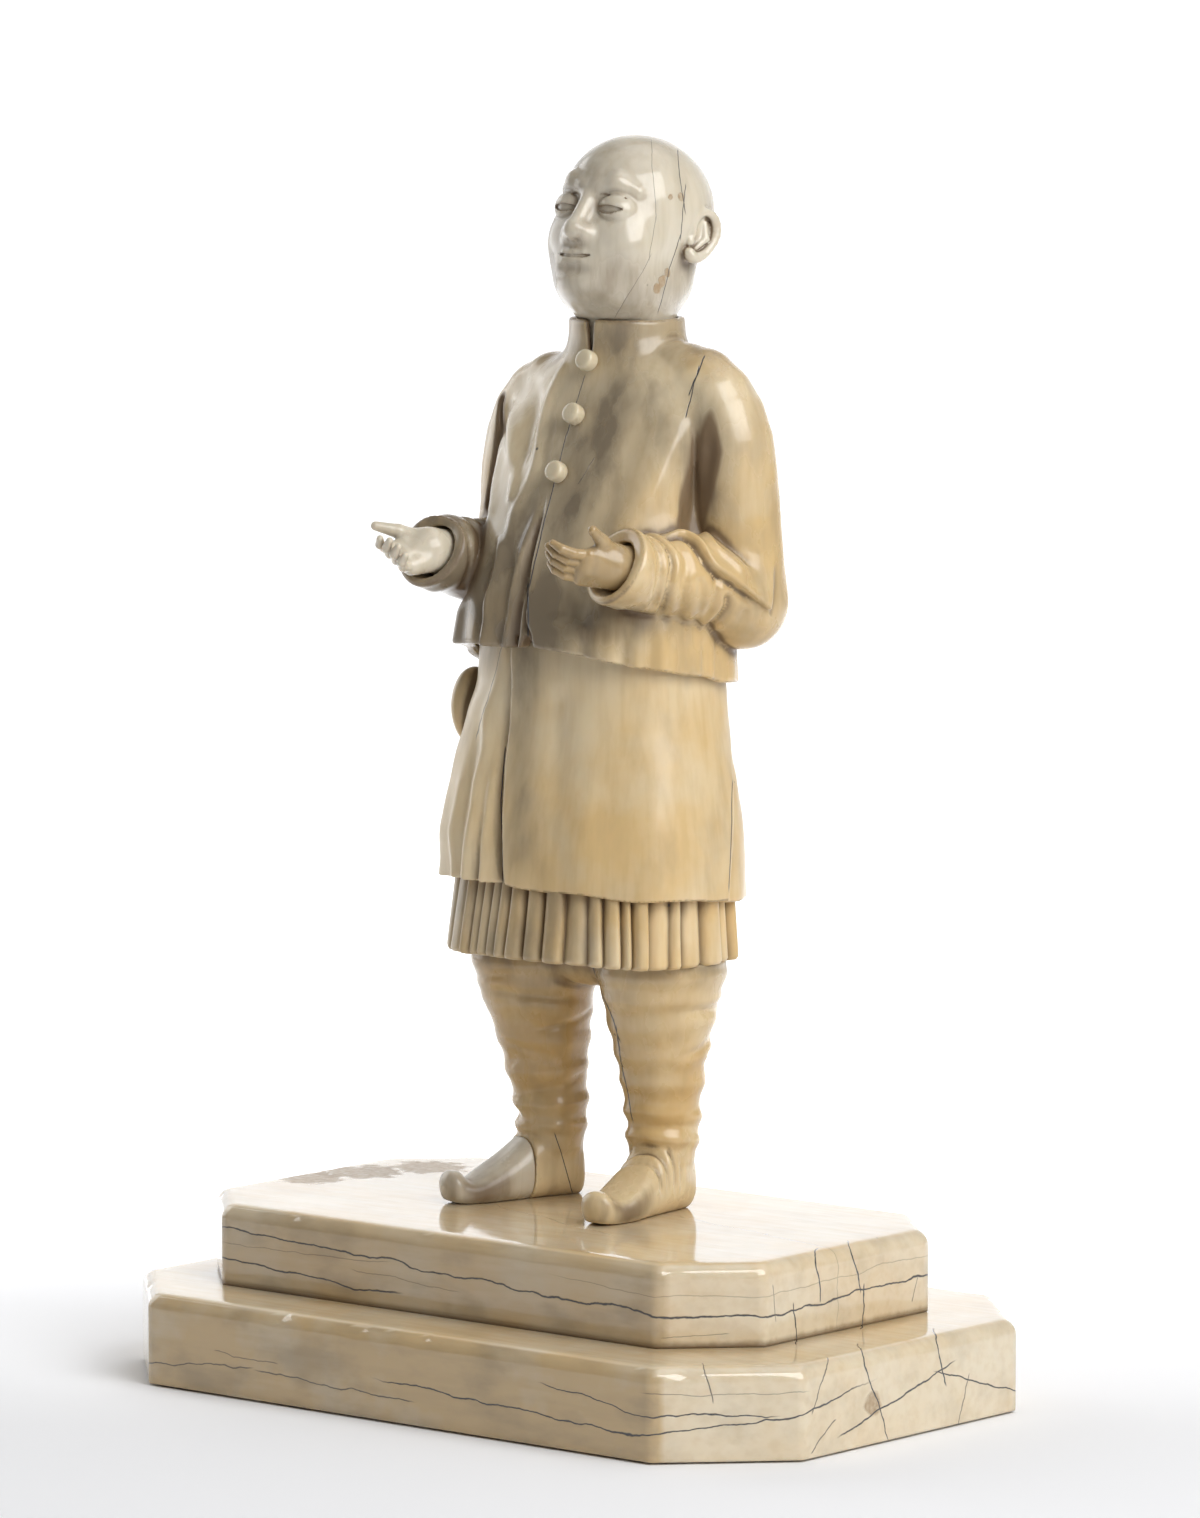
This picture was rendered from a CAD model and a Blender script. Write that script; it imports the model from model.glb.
# A carved ivory figure of a stout, bald man in a buttoned jacket, standing on a two-tier ivory plinth.
# It is about 250 mm high and was put together from several carved tusk sections.
# Sizes are in millimetres, and become metres where a piece is made.
import math

import bpy
import numpy as np
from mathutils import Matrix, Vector


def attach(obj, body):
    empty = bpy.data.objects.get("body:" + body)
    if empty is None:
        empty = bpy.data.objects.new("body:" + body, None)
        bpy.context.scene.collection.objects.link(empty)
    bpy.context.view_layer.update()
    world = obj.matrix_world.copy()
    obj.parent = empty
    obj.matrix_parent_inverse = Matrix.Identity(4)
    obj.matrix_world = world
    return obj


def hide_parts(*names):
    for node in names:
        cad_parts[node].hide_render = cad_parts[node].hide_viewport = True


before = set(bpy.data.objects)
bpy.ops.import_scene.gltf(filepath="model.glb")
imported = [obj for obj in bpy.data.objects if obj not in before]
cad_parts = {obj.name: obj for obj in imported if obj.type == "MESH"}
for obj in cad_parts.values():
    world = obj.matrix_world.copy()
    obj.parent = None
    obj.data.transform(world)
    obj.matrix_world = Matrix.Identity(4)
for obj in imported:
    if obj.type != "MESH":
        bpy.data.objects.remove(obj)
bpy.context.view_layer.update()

# The view: from the figure's front left, a little above its waist, through a long lens.
# It is the view of the photograph, worked out from the corners of the plinth.
VIEW_TURN = 39.9
VIEW_RISE = 6.54
VIEW_AIM = (0.0041, 0.0038, 0.1267)
VIEW_DISTANCE = 1.8
LENS = 213.45


def direction(turn, rise):
    """The way from the figure to something that stands turned to its left and raised, in degrees."""
    turn, rise = math.radians(turn), math.radians(rise)
    return Vector((math.sin(turn) * math.cos(rise), -math.cos(turn) * math.cos(rise), math.sin(rise)))


def aimed(name, data, aim, way, away):
    """Adds a camera or a light that stands some way off from its aim and looks at it."""
    looker = bpy.data.objects.new(name, data)
    looker.location = Vector(aim) + way * away
    looker.rotation_euler = (-way).to_track_quat("-Z", "Y").to_euler()
    bpy.context.collection.objects.link(looker)
    return looker


towards_camera = direction(VIEW_TURN, VIEW_RISE)
optics = bpy.data.cameras.new("camera")
optics.lens = LENS
optics.sensor_width = 36
optics.clip_end = 20
bpy.context.scene.camera = aimed("camera", optics, VIEW_AIM, towards_camera, VIEW_DISTANCE)

# Plinth: two octagonal slabs sawn across a large tusk, with rounded top edges, laid one on the other.
# The sides are polished and show long dark growth cracks. The top edges have small nicks, there is dust in
# the step between the slabs, and the top is rubbed rough beside the right shoe.
LOWER_TIER = {"length": 173, "width": 109.4, "floor": 0, "height": 18.4, "corner": 21, "shift": (0, 0)}
UPPER_TIER = {"length": 144, "width": 82, "floor": 18.4, "height": 16.5, "corner": 15.2, "shift": (-4.2, 3.5)}
TOP_ROUNDING = 3
POINT_SPACING = 1.5
NICKS = 26
PLINTH_PALE = (0.76, 0.67, 0.51, 1)
PLINTH_DEEP = (0.72, 0.52, 0.27, 1)
GRIME = (0.16, 0.10, 0.05, 1)
TONING = (0.235, 0.185, 0.122, 1)
CRACK_DARK = (0.055, 0.055, 0.06, 1)
RUBBED_BROWN = (0.38, 0.27, 0.16, 1)
MARKS = ("hollow", "amber", "toned")


class Wire:
    """The output of a node. Arithmetic on it adds the nodes that work the result out."""

    def __init__(self, socket):
        self.socket = socket
        self.tree = socket.id_data

    def __add__(self, other):
        return maths("ADD", self, other)

    def __sub__(self, other):
        return maths("SUBTRACT", self, other)

    def __rsub__(self, other):
        return maths("SUBTRACT", other, self)

    def __mul__(self, other):
        return maths("MULTIPLY", self, other)

    def __truediv__(self, other):
        return maths("DIVIDE", self, other)

    def __pow__(self, other):
        return maths("POWER", self, other)

    __rmul__ = __mul__


def fill(made, inputs):
    for socket, value in inputs.items():
        if isinstance(value, Wire):
            made.id_data.links.new(value.socket, made.inputs[socket])
        else:
            made.inputs[socket].default_value = value


def wire(tree, kind, inputs=None, output=0, **settings):
    """Adds a node, makes its choices, and fills its inputs with values or with wires."""
    made = tree.nodes.new(kind)
    for setting, value in settings.items():
        setattr(made, setting, value)
    fill(made, inputs or {})
    return Wire(made.outputs[output])


def maths(how, *values):
    tree = next(value.tree for value in values if isinstance(value, Wire))
    return wire(tree, "ShaderNodeMath", dict(enumerate(values)), operation=how)


def eased(value, low, high):
    return wire(value.tree, "ShaderNodeMapRange", {0: value, 1: low, 2: high}, interpolation_type="SMOOTHSTEP")


def parts(value):
    return [wire(value.tree, "ShaderNodeSeparateXYZ", {0: value}, k) for k in range(3)]


def painted(share, under, over):
    return wire(share.tree, "ShaderNodeMix", {0: share, 6: under, 7: over}, 2, data_type="RGBA")


def clouds(place, scale, detail, stretch=(1, 1, 1)):
    """Soft noise from 0 to 1, with its features about 1 / scale mm across, less along a stretched axis."""
    stretched = wire(place.tree, "ShaderNodeMapping", {0: place, 3: stretch})
    return wire(place.tree, "ShaderNodeTexNoise", {"Vector": stretched, "Scale": scale, "Detail": detail})


def apart(place, middle):
    return wire(place.tree, "ShaderNodeVectorMath", {0: place, 1: middle}, 1, operation="DISTANCE")


def crack_line(place, wave, crack):
    """One crack: a wavy plane that shows as a dark line, inside a ball that says how far it runs."""
    normal, middle, reach_out, wobble, width, strength = crack
    across = wire(place.tree, "ShaderNodeVectorMath", {0: place, 1: normal}, 1, operation="DOT_PRODUCT")
    wavy = wobble * wave + (across - sum(n * m for n, m in zip(normal, middle)))
    line = strength * eased(maths("ABSOLUTE", wavy), width * 0.65, width * 0.15)
    return line * eased(apart(place, middle), reach_out, reach_out * 0.85)


def ivory(name, pale, deep, polish, grain=(1, 1, 0.12), pits=0.02, cracks=(), rubbed=()):
    """Polished old ivory: cloudy cream with a fine grain, brown in the hollows, with pits and age cracks."""
    material = bpy.data.materials.new(name)
    material.use_nodes = True
    tree = material.node_tree
    place = wire(tree, "ShaderNodeTexCoord", output="Object")
    place = wire(tree, "ShaderNodeMapping", {0: place, 3: (1000, 1000, 1000)})
    marks = [wire(tree, "ShaderNodeAttribute", output="Fac", attribute_name=mark) for mark in MARKS]
    hollow, amber, toned = marks
    mottle = eased(clouds(place, 0.05, 4), 0.3, 0.7)
    cloudy = eased(clouds(place, 0.15, 5, tuple(g**0.35 for g in grain)), 0.42, 0.72)
    streaks = eased(clouds(place, 0.5, 5, grain), 0.38, 0.72)
    colour = painted(amber * (mottle + 0.55) + 0.25 * mottle + 0.16 * streaks, pale, deep)
    colour = painted(toned * (0.38 * cloudy + 0.85) + 0.14 * cloudy + 0.07 * streaks, colour, TONING)
    sunk = eased(0.1 * streaks + hollow, 0.12, 0.88)
    colour = painted(0.88 * sunk, colour, GRIME)
    specks = {"Vector": place, "Scale": 0.26}
    chance = wire(tree, "ShaderNodeSeparateColor", {0: wire(tree, "ShaderNodeTexVoronoi", specks, "Color")})
    from_speck = wire(tree, "ShaderNodeTexVoronoi", specks, "Distance")
    line = 0.8 * maths("LESS_THAN", chance, pits) * eased(from_speck, 0.12, 0.04)
    wave = clouds(place, 0.075, 4) - 0.5
    for crack in cracks:
        line = maths("MAXIMUM", line, crack_line(place, wave, crack))
    rough = 0.3 * sunk + 0.08 * cloudy + polish
    surface = 0.05 * clouds(place, 0.25, 2) + 0.008 * streaks
    for middle, size in rubbed:
        ragged = size * 1.3 * clouds(place, 0.35, 6) + apart(place, middle)
        patch = eased(ragged, size * 1.6, size * 1.35) * (1.2 * clouds(place, 0.9, 6) + 0.2)
        colour = painted(patch, colour, RUBBED_BROWN)
        rough += 0.8 * patch
        surface -= 0.3 * patch
    surface -= 0.12 * line
    shader = {
        "Base Color": painted(line, colour, CRACK_DARK),
        "Roughness": rough,
        "Normal": wire(tree, "ShaderNodeBump", {"Strength": 0.6, "Distance": 0.001, "Height": surface}),
        "Subsurface Weight": 0.15,
        "Subsurface Radius": (0.004, 0.0025, 0.0015),
        "Subsurface Scale": 0.5,
        "Coat Weight": 0.6 - 1.4 * polish,
        "Coat Roughness": 0.09,
    }
    fill(tree.nodes["Principled BSDF"], shader)
    return material


def join_figure(piece, nodes):
    """Lets a piece ride with the figure in place of its plain solids."""
    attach(piece, "root")
    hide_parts(*nodes)


def piece_of(name, points, faces, material, nodes, marks):
    """Makes a smooth piece from points in millimetres, with the marks that its material reads."""
    mesh = bpy.data.meshes.new(name)
    mesh.from_pydata(np.asarray(points) / 1000, [], faces)
    mesh.update()
    mesh.shade_smooth()
    for mark, values in marks.items():
        mesh.attributes.new(mark, "FLOAT", "POINT").data.foreach_set("value", values.astype(np.float32))
    mesh.materials.append(material)
    piece = bpy.data.objects.new(name, mesh)
    bpy.context.collection.objects.link(piece)
    join_figure(piece, nodes)


def octagon(tier, inset):
    """Points round an octagonal slab, with its edges moved in by an inset."""
    a = tier["length"] / 2 - inset
    b = tier["width"] / 2 - inset
    c = tier["corner"] - inset * (2 - math.sqrt(2))
    right_half = np.array([(a, c - b), (a, b - c), (a - c, b), (c - a, b)])
    corners = np.concatenate([right_half, -right_half])
    slant = tier["corner"] * math.sqrt(2)
    sides = [tier["width"] - 2 * tier["corner"], slant, tier["length"] - 2 * tier["corner"], slant] * 2
    rows = []
    for corner, following, side in zip(corners, np.roll(corners, -1, axis=0), sides):
        shares = np.linspace(0, 1, max(2, round(side / POINT_SPACING)), endpoint=False)[:, None]
        rows.append(corner + (following - corner) * shares)
    return np.concatenate(rows) + tier["shift"]


def slab(level, tier, seed):
    """A slab, ring by ring from the middle of its underside to the middle of its top."""
    top = tier["floor"] + tier["height"]
    profile = [(0.5, tier["floor"], 1), (0.1, tier["floor"] + 0.1, 1), (0, tier["floor"] + 0.5, 1)]
    profile += [(0, z, 1) for z in np.linspace(tier["floor"] + 2, top - TOP_ROUNDING - 0.5, 7)]
    for turned in np.radians(np.linspace(0, 90, 9)):
        profile.append((TOP_ROUNDING * (1 - math.cos(turned)), top - TOP_ROUNDING * (1 - math.sin(turned)), 1))
    profile += [(TOP_ROUNDING, top, share) for share in (0.96, 0.85, 0.6, 0.3, 0.05)]
    chance = np.random.default_rng(seed)
    count = len(octagon(tier, 0))
    nicks = np.zeros(count)
    for _ in range(NICKS):
        away = (np.arange(count) - chance.integers(count) + count / 2) % count - count / 2
        nicks += chance.uniform(0.15, 0.5) * np.exp(-((away / chance.uniform(0.5, 1.6)) ** 2))
    rings = []
    for inset, z, share in profile:
        outward = octagon(tier, inset) - tier["shift"]
        worn = nicks * math.exp(-(((z - top + 1) / 1.2) ** 2)) if share == 1 else 0
        size = np.linalg.norm(outward, axis=1)
        ring = outward * ((size - worn) / size * share)[:, None] + tier["shift"]
        rings.append(np.column_stack([ring, np.full(count, z)]))
    points = np.concatenate(rings)
    faces = []
    for k in range(len(rings) - 1):
        for i in range(count):
            j = (i + 1) % count
            faces.append((k * count + i, k * count + j, (k + 1) * count + j, (k + 1) * count + i))
    faces.append(tuple(range(count - 1, -1, -1)))
    faces.append(tuple(range((len(rings) - 1) * count, len(rings) * count)))
    foot = np.exp(-(((points[:, 2] - tier["floor"]) / 0.8) ** 2)) * (tier["floor"] > 0)
    long_side = np.abs(points[:, 1] - tier["shift"][1]) > tier["width"] / 2 - 1.5
    side = (points[:, 2] < top - 0.5) & ~long_side
    marks = {
        "hollow": foot,
        "toned": 0.36 * long_side + 0.05 * side,
        "amber": 0.35 - 0.27 * side + 0.4 * long_side * (tier is LOWER_TIER),
    }
    piece_of(f"{level}_slab", points, faces, plinth_ivory, [f"plinth_{level}_tier"], marks)


PLINTH_CRACKS = [
    ((-0.05, 0.03, -1.00), (30.4, -22.4, 26.4), 110, 5, 0.42, 1.0),
    ((-0.04, -0.26, -0.96), (-37.8, -37.5, 22.6), 26, 4, 0.4, 1.0),
    ((0.02, -0.20, -0.98), (-38.7, -37.5, 27.3), 24, 3, 0.22, 0.4),
    ((-0.06, -0.27, -0.96), (-12.0, -37.5, 24.8), 15, 3, 0.22, 0.4),
    ((-0.74, -0.63, -0.22), (66.4, 7.1, 30.6), 6, 4, 0.3, 1.0),
    ((-0.79, -0.60, 0.11), (67.8, 7.8, 22.2), 5, 4, 0.28, 1.0),
    ((-0.76, -0.63, -0.13), (66.5, -3.9, 30.4), 6, 4, 0.3, 1.0),
    ((-0.77, -0.63, -0.07), (68.0, -12.9, 21.3), 5, 4, 0.26, 1.0),
    ((-0.76, -0.64, -0.13), (67.8, -19.4, 26.7), 4, 3, 0.2, 0.6),
    ((-0.79, -0.57, 0.20), (67.8, 25.3, 23.7), 3, 3, 0.2, 0.6),
    ((0.06, -0.03, 1.00), (63.0, -13.0, 29.0), 46, 3, 0.22, 0.35),
    ((0.13, -0.12, -0.98), (58.1, -32.0, 21.2), 7, 3, 0.2, 0.5),
    ((-0.04, 0.19, -0.98), (48.8, -50.3, 6.8), 56, 5, 0.36, 1.0),
    ((0.11, -0.10, 0.99), (62.3, -50.9, 9.9), 26, 4, 0.3, 1.0),
    ((-0.04, -0.28, -0.96), (-15.7, -54.7, 5.3), 22, 4, 0.28, 0.8),
    ((0.07, -0.18, -0.98), (-53.4, -54.7, 5.5), 17, 4, 0.28, 0.8),
    ((-0.04, -0.27, -0.96), (-39.1, -54.7, 8.3), 9, 4, 0.24, 0.6),
    ((0.53, 0.22, -0.82), (86.5, -4.4, 7.9), 20, 3, 0.34, 1.0),
    ((-0.09, -0.29, -0.95), (86.5, 21.1, 7.5), 15, 3, 0.32, 1.0),
    ((-0.72, -0.63, -0.29), (85.9, -11.4, 10.4), 12, 4, 0.3, 1.0),
    ((-0.76, -0.63, -0.18), (84.3, 11.7, 14.5), 7, 4, 0.32, 1.0),
    ((-0.78, -0.56, 0.27), (85.3, -27.6, 14.3), 7, 4, 0.26, 0.8),
    ((0.68, 0.39, -0.62), (86.5, -27.5, 3.9), 5, 3, 0.26, 0.8),
    ((-0.72, -0.65, -0.26), (72.6, -45.6, 16.0), 5, 3, 0.26, 0.8),
    ((-0.80, -0.57, 0.21), (86.5, 16.5, 4.4), 6, 3, 0.22, 0.7),
    ((0.12, -0.14, -0.98), (75.8, -44.4, 13.3), 17, 3, 0.22, 0.5),
    ((0.30, 0.95, 0), (-2.2, -8, 34.9), 30, 6, 0.25, 0.35),
    ((0.20, 0.98, 0), (45.8, 4.7, 34.9), 30, 6, 0.25, 0.35),
    ((0.02, 0.03, 1.0), (-10, 44.5, 27), 60, 6, 0.34, 1.0),
    ((-0.03, 0.05, 1.0), (20, 54.7, 8), 66, 6, 0.34, 1.0),
    ((0.1, 0.02, 1.0), (-86.5, 5, 9), 40, 6, 0.3, 1.0),
]
RUBBED = [((-69, -1, 34.9), 8), ((-66, 11, 34.9), 10), ((-60, 25, 34.9), 9), ((86.5, -12, 8), 3)]
plinth_ivory = ivory("plinth ivory", PLINTH_PALE, PLINTH_DEEP, 0.06, (0.1, 1, 1), 0.005, PLINTH_CRACKS, RUBBED)
slab("lower", LOWER_TIER, 3)
slab("upper", UPPER_TIER, 8)

# Legs: both legs in wrinkled leggings, the seat of the trousers, the left shoe and the back of the right
# shoe, carved from one section. The leggings lie in rings, closest together at the ankles.
MIDLINE_X = -3.5
ROUNDNESS = 2.6
GROUND = LOWER_TIER["height"] + UPPER_TIER["height"]
SKIRT_HEM = 86
LEG_STATIONS = [
    [44, 14.6, 6.3, 6.3],
    [50, 14.6, 6.9, 6.9],
    [57, 14.9, 7.5, 7.3],
    [65, 15.4, 8.7, 8.5],
    [72, 15.9, 10.2, 9.7],
    [78, 16.3, 11.7, 11.2],
    [82, 16.5, 12.5, 12.1],
    [86, 16.5, 13.0, 12.6],
]
LEG_MIDDLE_Y = (15.0, 12.3)
LEG_ROUNDNESS = 2.1
SHOE_LENGTH = 32.3
SHOE_JOINT = 13.4
SHOE_ROUNDNESS = 2.4
SHOES = {"left": ((11.2, 21.2), 5), "right": ((-16.2, 21.4), -19)}
SHOE_GROOVES = (9.0, 11.0, 13.2, 15.6)
SHOE_STATIONS = [
    [0, 3.2, 8.5, 0],
    [0.05, 4.6, 12.5, 0],
    [0.2, 5.7, 14.8, 0],
    [0.33, 5.8, 14.6, 0],
    [0.44, 5.6, 11.6, 0],
    [0.58, 5.7, 8.4, 0],
    [0.72, 5.4, 5.8, 0],
    [0.82, 4.6, 4.2, 0],
    [0.88, 4.0, 4.6, 0.1],
    [0.94, 3.6, 5.8, 0.5],
    [1, 3.0, 5.6, 1.2],
]
HONEY_PALE = (0.76, 0.62, 0.39, 1)
HONEY_DEEP = (0.62, 0.42, 0.18, 1)


def smooth(value, low, high):
    share = np.clip((value - low) / (high - low), 0, 1)
    return share * share * (3 - 2 * share)


def mix(first, second, share):
    return first + (second - first) * share


def bell(distance, width):
    return np.exp(-((distance / width) ** 2))


def follow(stations, column, at):
    """Reads a column of a station table, on a smooth curve through the stations."""
    rows = np.array(stations, float)
    at = np.clip(at, rows[0, 0], rows[-1, 0])
    before = rows[np.maximum(np.arange(len(rows)) - 1, 0)]
    after = rows[np.minimum(np.arange(len(rows)) + 1, len(rows) - 1)]
    slope = (after[:, column] - before[:, column]) / (after[:, 0] - before[:, 0])
    i = np.clip(np.searchsorted(rows[:, 0], at) - 1, 0, len(rows) - 2)
    span = rows[i + 1, 0] - rows[i, 0]
    s = (at - rows[i, 0]) / span
    value = mix(rows[i, column], rows[i + 1, column], s * s * (3 - 2 * s))
    return value + span * (slope[i] * s * (1 - s) ** 2 - slope[i + 1] * s * s * (1 - s))


def reach(angle, half_width, half_depth, roundness=ROUNDNESS):
    """The distance from the middle of a rounded section to its edge."""
    across = np.abs(np.cos(angle)) / half_width
    deep = np.abs(np.sin(angle)) / half_depth
    return (across**roundness + deep**roundness) ** (-1 / roundness)


def join(first, second, width):
    """Two forms run together, with a soft valley of a width between them."""
    share = np.clip(0.5 + 0.5 * (second - first) / width, 0, 1)
    return mix(second, first, share) - width * share * (1 - share)


def cut(form, tool, width):
    """A form with a tool's form taken away, and the new edge rounded by a width."""
    return -join(-form, tool, width)


def egg(x, y, z, middle, half):
    q = np.sqrt(sum(((v - m) / h) ** 2 for v, m, h in zip((x, y, z), middle, half)))
    return (q - 1) * min(half)


def rod(x, y, z, start, end, start_radius, end_radius):
    way = np.subtract(end, start)
    away = [v - s for v, s in zip((x, y, z), start)]
    share = np.clip(sum(a * w for a, w in zip(away, way)) / max(way @ way, 1e-9), 0, 1)
    off = sum((a - share * w) ** 2 for a, w in zip(away, way))
    return np.sqrt(off) - mix(start_radius, end_radius, share)


def hand_work(x, y, z, size):
    """The slight unevenness that carving by hand leaves."""
    waves = np.sin(0.55 * x + 0.31 * z + 1.3) * np.sin(0.47 * y - 0.42 * z) + np.sin(0.23 * x - 0.61 * y + 0.37 * z)
    return size * 0.6 * waves


def smooth_line(path, count=24):
    """A smooth curve through a path's points, as many short steps."""
    rows = np.array(path, float)
    knots = np.column_stack([np.arange(len(rows)), rows])
    at = np.linspace(0, len(rows) - 1, count + 1)
    return np.stack([follow(knots, column, at) for column in range(1, knots.shape[1])], axis=1)


class Folds:
    """Carved folds on a rounded form, kept as heights over the degrees round it and the level along it."""

    STEP_ROUND = 0.4
    STEP_UP = 0.25

    def __init__(self, low, high, radius):
        self.low = low
        self.round = np.arange(-180, 180, self.STEP_ROUND)
        self.up = np.arange(low, high, self.STEP_UP)
        self.girth = math.radians(radius)
        self.rise = np.zeros((len(self.up), len(self.round)))

    def beside(self, path, margin):
        """The places near a path of (degrees, level), how far they are to its right in mm, and how far along."""
        flat = smooth_line(path) * (self.girth, 1)
        low, high = flat.min(0) - margin, flat.max(0) + margin
        first, last = ((edge[0] / self.girth + 180) / self.STEP_ROUND for edge in (low, high))
        columns = np.arange(math.floor(first), math.ceil(last))
        rows = np.flatnonzero((self.up > low[1]) & (self.up < high[1]))
        u, v = np.meshgrid((columns * self.STEP_ROUND - 180) * self.girth, self.up[rows])
        nearest, across, along = np.full(u.shape, 1e9), np.zeros(u.shape), np.zeros(u.shape)
        for k, start in enumerate(flat[:-1]):
            way = flat[k + 1] - start
            share = np.clip(((u - start[0]) * way[0] + (v - start[1]) * way[1]) / (way @ way), 0, 1)
            right, ahead = u - start[0] - share * way[0], v - start[1] - share * way[1]
            away = np.hypot(right, ahead)
            closer = away < nearest
            nearest = np.where(closer, away, nearest)
            across = np.where(closer, away * np.sign(way[1] * right - way[0] * ahead), across)
            along = np.where(closer, (k + share) / (len(flat) - 1), along)
        length = np.linalg.norm(np.diff(flat, axis=0), axis=1).sum()
        return np.ix_(rows, columns % len(self.round)), across, along, length

    def ends(self, along, length, fade):
        return smooth(along * length, -0.01, fade[0]) * smooth((1 - along) * length, -0.01, fade[1])

    def fold(self, path, rise, width, fade=(4, 4)):
        """A rounded fold along a path. A negative rise is a groove."""
        rise, width = np.broadcast_to(rise, 2), np.broadcast_to(width, 2)
        place, across, along, length = self.beside(path, 3 * max(width))
        wide = mix(width[0], width[1], along)
        self.rise[place] += mix(rise[0], rise[1], along) * self.ends(along, length, fade) * bell(across, wide)

    def step(self, path, over, over_width, under, under_width, fade=(0.01, 0.01)):
        """An edge that lies over what is beside it: raised to the right of its path and sunk to the left."""
        over, under = np.broadcast_to(over, 2), np.broadcast_to(under, 2)
        place, across, along, length = self.beside(path, 3 * max(over_width, under_width))
        raised = mix(over[0], over[1], along) * bell(across, over_width)
        sunk = -mix(under[0], under[1], along) * bell(across, under_width)
        self.rise[place] += mix(sunk, raised, smooth(across, -0.6, 0.6)) * self.ends(along, length, fade)

    def __call__(self, angle, z):
        column = ((np.degrees(angle) + 180) / self.STEP_ROUND) % len(self.round)
        row = np.clip((z - self.low) / self.STEP_UP, 0, len(self.up) - 1.001)
        c = column.astype(int) % len(self.round)
        r = row.astype(int)
        right = (c + 1) % len(self.round)
        lower = mix(self.rise[r, c], self.rise[r, right], column - column.astype(int))
        upper = mix(self.rise[r + 1, c], self.rise[r + 1, right], column - column.astype(int))
        return mix(lower, upper, row - r)


BLOCK = 4
NEAR_BLOCKS = 2.2
MOST_AT_ONCE = 400000
SLOPE_STEP = 0.02
HOLLOW_REACHES = (0.6, 1.5, 3.5)


def sampled(field, low, high, pitch):
    """Field values on a fine grid. Only blocks of it that lie near the surface are worked out."""
    low = np.array(low, float)
    count = np.ceil((np.array(high) - low) / (pitch * BLOCK)).astype(int)
    lines = [low[a] + pitch * BLOCK * np.arange(count[a] + 1) for a in range(3)]
    coarse = field(*[g.ravel() for g in np.meshgrid(*lines, indexing="ij")]).reshape(count + 1)
    near = np.abs(coarse) < pitch * BLOCK * NEAR_BLOCKS
    active = np.zeros(count, bool)
    for i in range(8):
        a, b, c = i & 1, i >> 1 & 1, i >> 2
        active |= near[a : a + count[0], b : b + count[1], c : c + count[2]]
    filled = coarse[:-1, :-1, :-1]
    for axis in range(3):
        filled = filled.repeat(BLOCK, axis)
        active = active.repeat(BLOCK, axis)
    filled = np.pad(filled, (0, 1), "edge")
    active = np.pad(active, (0, 1))
    for axis in range(3):
        active |= np.roll(active, 1, axis)
    index = np.argwhere(active)
    for part in np.array_split(index, max(1, len(index) // MOST_AT_ONCE)):
        filled[tuple(part.T)] = field(*(low + part * pitch).T)
    return filled, low


def meshed(values, low, pitch):
    """The points and four-sided faces of the surface where grid values change sign, facing outwards."""
    inside = values < 0
    corners = [(i & 1, i >> 1 & 1, i >> 2) for i in range(8)]
    shape = np.array(values.shape) - 1
    full = sum(inside[a : a + shape[0], b : b + shape[1], c : c + shape[2]].astype(np.int8) for a, b, c in corners)
    crossed = (full > 0) & (full < 8)
    cells = np.argwhere(crossed)
    number = np.full(crossed.shape, -1, np.int32)
    number[crossed] = np.arange(len(cells))
    total = np.zeros((len(cells), 3))
    hits = np.zeros(len(cells))
    for start in corners:
        for axis in range(3):
            if start[axis]:
                continue
            end = tuple(v + (axis == a) for a, v in enumerate(start))
            one = values[tuple((cells + start).T)]
            two = values[tuple((cells + end).T)]
            cross = (one < 0) != (two < 0)
            share = np.where(cross, one / np.where(cross, one - two, 1), 0)
            place = np.array(start, float)[None, :] + share[:, None] * (np.arange(3) == axis)
            total += place * cross[:, None]
            hits += cross
    points = low + pitch * (cells + total / hits[:, None])
    faces = []
    for axis in range(3):
        near, far = (axis + 1) % 3, (axis + 2) % 3
        first = [slice(1, -1)] * 3
        first[axis] = slice(0, -1)
        second = list(first)
        second[axis] = slice(1, None)
        out = inside[tuple(first)]
        edges = np.argwhere(out != inside[tuple(second)])
        leaving = out[tuple(edges.T)]
        edges = edges + np.array([0 if a == axis else 1 for a in range(3)])
        ring = []
        for back_near, back_far in [(1, 1), (0, 1), (0, 0), (1, 0)]:
            cell = edges.copy()
            cell[:, near] -= back_near
            cell[:, far] -= back_far
            ring.append(number[tuple(cell.T)])
        quads = np.stack(ring, axis=1)
        quads[~leaving] = quads[~leaving][:, ::-1]
        faces.append(quads)
    return points, np.concatenate(faces)


def uphill(field, points):
    """The field's value at points, and the way in which it grows there."""
    here = field(*points.T)
    slopes = [(field(*(points + SLOPE_STEP * axis).T) - here) / SLOPE_STEP for axis in np.eye(3)]
    return here, np.stack(slopes, axis=1)


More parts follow.
